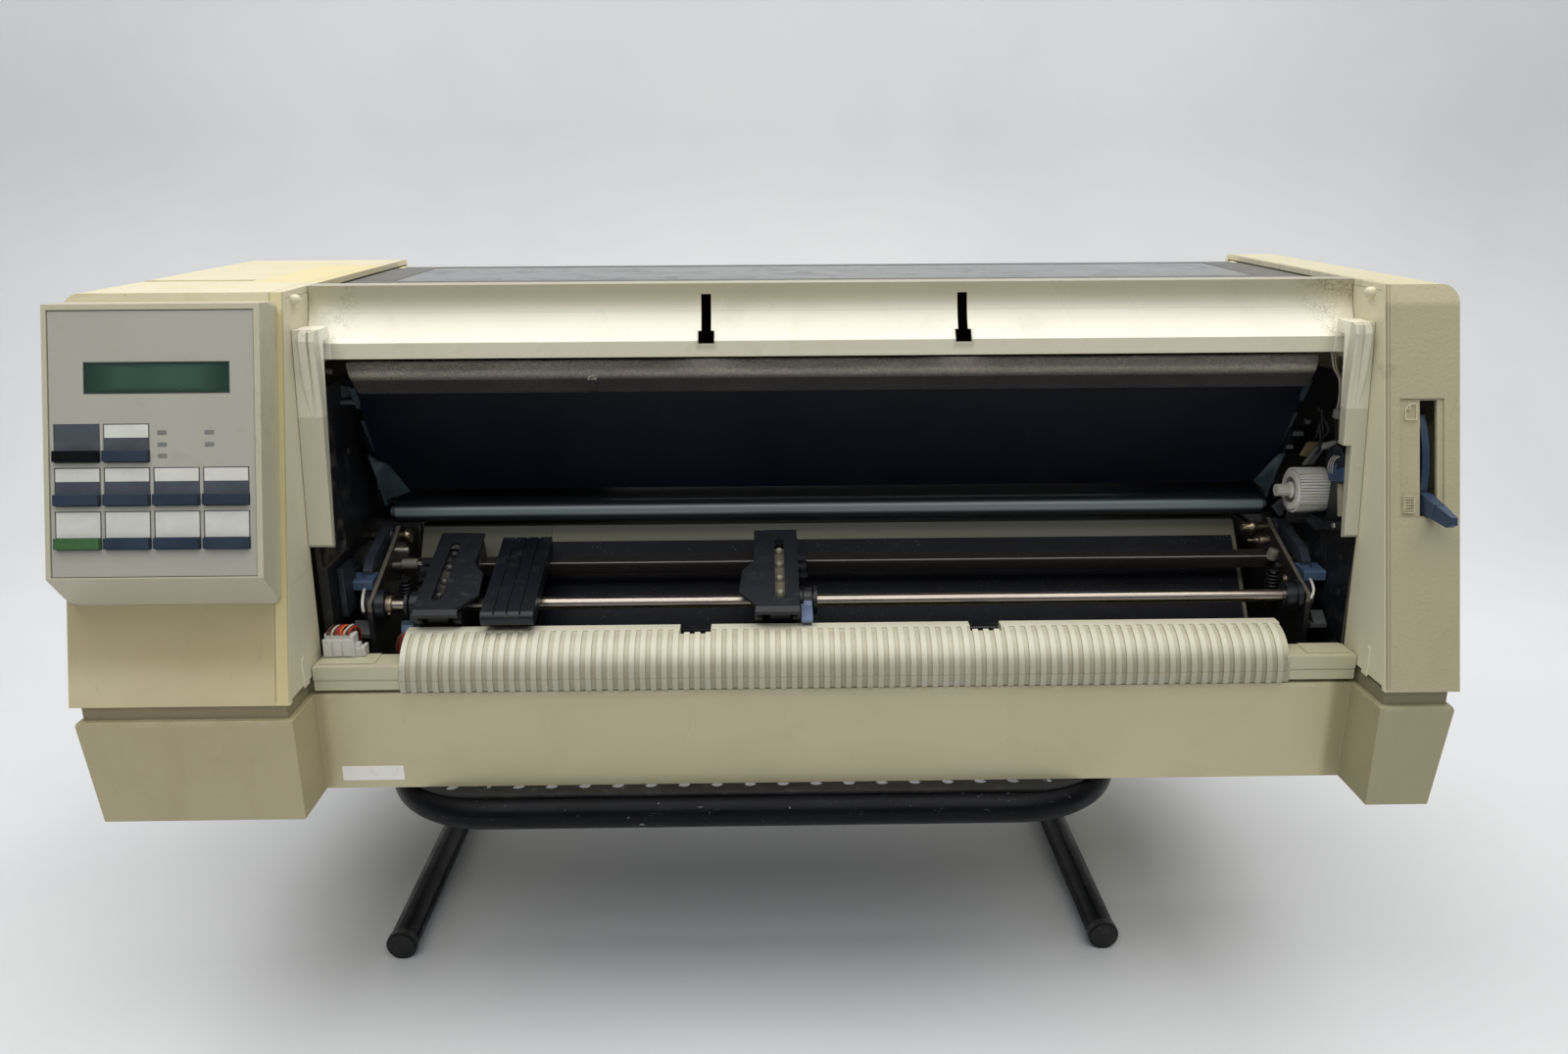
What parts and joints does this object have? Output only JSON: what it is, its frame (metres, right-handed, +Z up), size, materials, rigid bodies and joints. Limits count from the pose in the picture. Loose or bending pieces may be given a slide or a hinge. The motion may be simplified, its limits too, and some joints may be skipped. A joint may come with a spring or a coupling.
{
  "type": "dot matrix printer",
  "caption": "Wide dot matrix forms printer with hinged top cover, sliding pin-feed tractors, key panel and paper lever, on a bent tube stand.",
  "frame": {"origin": "on the floor, under the centre of the whole part's bounding box", "axes": "+X across the width to the printer's right-hand side as seen from the front, +Y from front to back, +Z up"},
  "size_m": [0.685, 0.3314, 0.397],
  "materials": {
    "case_plastic": "fine grained, slightly yellowed",
    "base_plastic": "satin, smooth",
    "bay_plastic": "satin, smooth, pale",
    "cover_plastic": "dark grey, fine grained",
    "smoked_window": "clear smoked",
    "overlay_film": "smooth membrane",
    "lcd_glass": "display window",
    "key_black": "satin",
    "key_blue": "satin",
    "key_green": "satin",
    "board": "lacquered",
    "lever_blue": "satin",
    "frame_black": "satin black",
    "bracket_teal": "satin",
    "baffle_film": "smooth, slightly glossy",
    "foam": "open cell foam",
    "guide_slate": "satin",
    "plate_beige": "satin",
    "bright_steel": "ground",
    "dull_steel": "dull drawn bar",
    "tractor_black": "satin",
    "tractor_door": "satin",
    "tractor_belt": "moulded",
    "gear_white": "moulded",
    "latch_blue": "satin",
    "roller_rubber": "ground rubber",
    "mech_black": "satin",
    "head_metal": "dark cast",
    "belt_rubber": "toothed",
    "motor_metal": "satin",
    "sheet_metal": "zinc plated",
    "tube_black": "semi-gloss enamel",
    "cap_rubber": "matte"
  },
  "bodies": {
    "chassis": {"base_pan": "base_plastic", "left_housing": "case_plastic", "right_housing": "case_plastic", "rear_housing": "case_plastic", "front_bezel": "bay_plastic", "front_apron": "bay_plastic", "control_panel": "case_plastic", "panel_overlay": "overlay_film", "lcd_window": "lcd_glass", "circuit_boards": "board", "side_frames": "frame_black", "baffle_panel": "baffle_film", "foam_strip": "foam", "guide_bar": "guide_slate", "inner_brackets": "bracket_teal", "back_plate": "plate_beige", "slide_sheet": "baffle_film", "support_shaft": "bright_steel", "release_springs": "bright_steel", "carriage_rails": "bright_steel", "drive_belts": "belt_rubber", "motors": "motor_metal", "power_unit": "sheet_metal", "rear_sockets": "mech_black", "stand_frame": "tube_black", "stand_shelf": "tube_black", "foot_caps": "cap_rubber"},
    "cover": {"top_cover": "cover_plastic", "cover_window": "smoked_window"},
    "lever": {"select_lever": "lever_blue"},
    "platen_roller": {"platen": "roller_rubber"},
    "feed_wheel": {"feed_gear": "gear_white"},
    "tractor_shaft": {"drive_shaft": "dull_steel"},
    "tractor_l": {"left_tractor": "tractor_black", "left_tractor_belt": "tractor_belt"},
    "tractor_l_sprocket": {"left_tractor_sprocket": "gear_white"},
    "tractor_l_door": {"left_tractor_door": "tractor_door"},
    "tractor_l_lever": {"left_tractor_lever": "latch_blue"},
    "tractor_r": {"right_tractor": "tractor_black", "right_tractor_belt": "tractor_belt"},
    "tractor_r_sprocket": {"right_tractor_sprocket": "gear_white"},
    "tractor_r_door": {"right_tractor_door": "tractor_door"},
    "tractor_r_lever": {"right_tractor_lever": "latch_blue"},
    "support": {"paper_support": "tractor_black"},
    "release_l": {"left_release": "lever_blue"},
    "release_r": {"right_release": "lever_blue"},
    "head_carriage": {"carriage": "mech_black", "print_head": "head_metal", "ribbon_cartridge": "mech_black"},
    "rocker": {"power_switch": "mech_black"},
    "key_menu_body": {"key_menu": "key_black"},
    "key_tear_body": {"key_tear": "key_blue"},
    "key_font_body": {"key_font": "key_blue"},
    "key_pitch_body": {"key_pitch": "key_blue"},
    "key_next_body": {"key_next": "key_blue"},
    "key_prev_body": {"key_prev": "key_blue"},
    "key_start_body": {"key_start": "key_green"},
    "key_load_body": {"key_load": "key_blue"},
    "key_line_body": {"key_line": "key_blue"},
    "key_form_body": {"key_form": "key_blue"}
  },
  "joints": [
    {"name": "key_menu_press", "type": "slide", "parent": "chassis", "child": "key_menu_body", "axis": [0, 0.9608, -0.2773], "range_m": [0, 0.0012], "stiffness_N_per_m": 250, "springref_m": -0.0012},
    {"name": "key_tear_press", "type": "slide", "parent": "chassis", "child": "key_tear_body", "axis": [0, 0.9608, -0.2773], "range_m": [0, 0.0012], "stiffness_N_per_m": 250, "springref_m": -0.0012},
    {"name": "key_font_press", "type": "slide", "parent": "chassis", "child": "key_font_body", "axis": [0, 0.9608, -0.2773], "range_m": [0, 0.0012], "stiffness_N_per_m": 250, "springref_m": -0.0012},
    {"name": "key_pitch_press", "type": "slide", "parent": "chassis", "child": "key_pitch_body", "axis": [0, 0.9608, -0.2773], "range_m": [0, 0.0012], "stiffness_N_per_m": 250, "springref_m": -0.0012},
    {"name": "key_next_press", "type": "slide", "parent": "chassis", "child": "key_next_body", "axis": [0, 0.9608, -0.2773], "range_m": [0, 0.0012], "stiffness_N_per_m": 250, "springref_m": -0.0012},
    {"name": "key_prev_press", "type": "slide", "parent": "chassis", "child": "key_prev_body", "axis": [0, 0.9608, -0.2773], "range_m": [0, 0.0012], "stiffness_N_per_m": 250, "springref_m": -0.0012},
    {"name": "key_start_press", "type": "slide", "parent": "chassis", "child": "key_start_body", "axis": [0, 0.9608, -0.2773], "range_m": [0, 0.0012], "stiffness_N_per_m": 250, "springref_m": -0.0012},
    {"name": "key_load_press", "type": "slide", "parent": "chassis", "child": "key_load_body", "axis": [0, 0.9608, -0.2773], "range_m": [0, 0.0012], "stiffness_N_per_m": 250, "springref_m": -0.0012},
    {"name": "key_line_press", "type": "slide", "parent": "chassis", "child": "key_line_body", "axis": [0, 0.9608, -0.2773], "range_m": [0, 0.0012], "stiffness_N_per_m": 250, "springref_m": -0.0012},
    {"name": "key_form_press", "type": "slide", "parent": "chassis", "child": "key_form_body", "axis": [0, 0.9608, -0.2773], "range_m": [0, 0.0012], "stiffness_N_per_m": 250, "springref_m": -0.0012},
    {"name": "select_lever_swing", "type": "hinge", "parent": "chassis", "child": "lever", "pos_m": [0.3272, -0.0772, 0.29903], "axis": [-1, 0, 0], "range_deg": [0, 44]},
    {"name": "top_cover_hinge", "type": "hinge", "parent": "chassis", "child": "cover", "pos_m": [0.035, 0.08035, 0.3906], "axis": [-1, 0, 0], "range_deg": [0, 85]},
    {"name": "platen_turn", "type": "hinge", "parent": "chassis", "child": "platen_roller", "pos_m": [0.035, 0.00575, 0.252], "axis": [1, 0, 0], "continuous": true},
    {"name": "feed_wheel_turn", "type": "hinge", "parent": "chassis", "child": "feed_wheel", "pos_m": [0.3, -0.06225, 0.2796], "axis": [1, 0, 0], "continuous": true},
    {"name": "tractor_shaft_turn", "type": "hinge", "parent": "chassis", "child": "tractor_shaft", "pos_m": [0.04, -0.06122, 0.23899], "axis": [1, 0, 0], "continuous": true},
    {"name": "left_tractor_slide", "type": "slide", "parent": "chassis", "child": "tractor_l", "axis": [1, 0, 0], "range_m": [-0.006, 0.003]},
    {"name": "left_sprocket_turn", "type": "hinge", "parent": "tractor_l", "child": "tractor_l_sprocket", "pos_m": [-0.174, -0.06122, 0.23899], "axis": [1, 0, 0], "continuous": true},
    {"name": "left_door_swing", "type": "hinge", "parent": "tractor_l", "child": "tractor_l_door", "pos_m": [-0.1882, -0.07789, 0.24008], "axis": [0, -0.9548, -0.2974], "range_deg": [0, 90]},
    {"name": "left_lock_swing", "type": "hinge", "parent": "tractor_l", "child": "tractor_l_lever", "pos_m": [-0.1906, -0.09425, 0.2287], "axis": [-1, 0, 0], "range_deg": [0, 55]},
    {"name": "right_tractor_slide", "type": "slide", "parent": "chassis", "child": "tractor_r", "axis": [1, 0, 0], "range_m": [-0.1, 0.24]},
    {"name": "right_sprocket_turn", "type": "hinge", "parent": "tractor_r", "child": "tractor_r_sprocket", "pos_m": [0.0045, -0.06122, 0.23899], "axis": [1, 0, 0], "continuous": true},
    {"name": "right_door_swing", "type": "hinge", "parent": "tractor_r", "child": "tractor_r_door", "pos_m": [0.0187, -0.07789, 0.24008], "axis": [0, 0.9548, 0.2974], "range_deg": [0, 90]},
    {"name": "right_lock_swing", "type": "hinge", "parent": "tractor_r", "child": "tractor_r_lever", "pos_m": [0.0211, -0.09425, 0.2287], "axis": [-1, 0, 0], "range_deg": [0, 45]},
    {"name": "paper_support_slide", "type": "slide", "parent": "chassis", "child": "support", "axis": [1, 0, 0], "range_m": [-0.003, 0.1]},
    {"name": "left_release_pull", "type": "hinge", "parent": "chassis", "child": "release_l", "pos_m": [-0.219, -0.04185, 0.2516], "axis": [-1, 0, 0], "range_deg": [0, 20], "stiffness_Nm_per_rad": 0.15, "springref_deg": -11.46},
    {"name": "right_release_pull", "type": "hinge", "parent": "chassis", "child": "release_r", "pos_m": [0.297, -0.04185, 0.2516], "axis": [-1, 0, 0], "range_deg": [0, 20], "stiffness_Nm_per_rad": 0.15, "springref_deg": -11.46},
    {"name": "carriage_travel", "type": "slide", "parent": "chassis", "child": "head_carriage", "axis": [1, 0, 0], "range_m": [0, 0.4]},
    {"name": "power_rocker", "type": "hinge", "parent": "chassis", "child": "rocker", "pos_m": [-0.2675, 0.15575, 0.174], "axis": [1, 0, 0], "range_deg": [-8, 8]}
  ],
  "couplings": [
    {"joint": "feed_wheel_turn", "follows": "platen_turn", "ratio": 1},
    {"joint": "tractor_shaft_turn", "follows": "platen_turn", "ratio": 1},
    {"joint": "left_sprocket_turn", "follows": "platen_turn", "ratio": 1},
    {"joint": "right_sprocket_turn", "follows": "platen_turn", "ratio": 1}
  ]
}
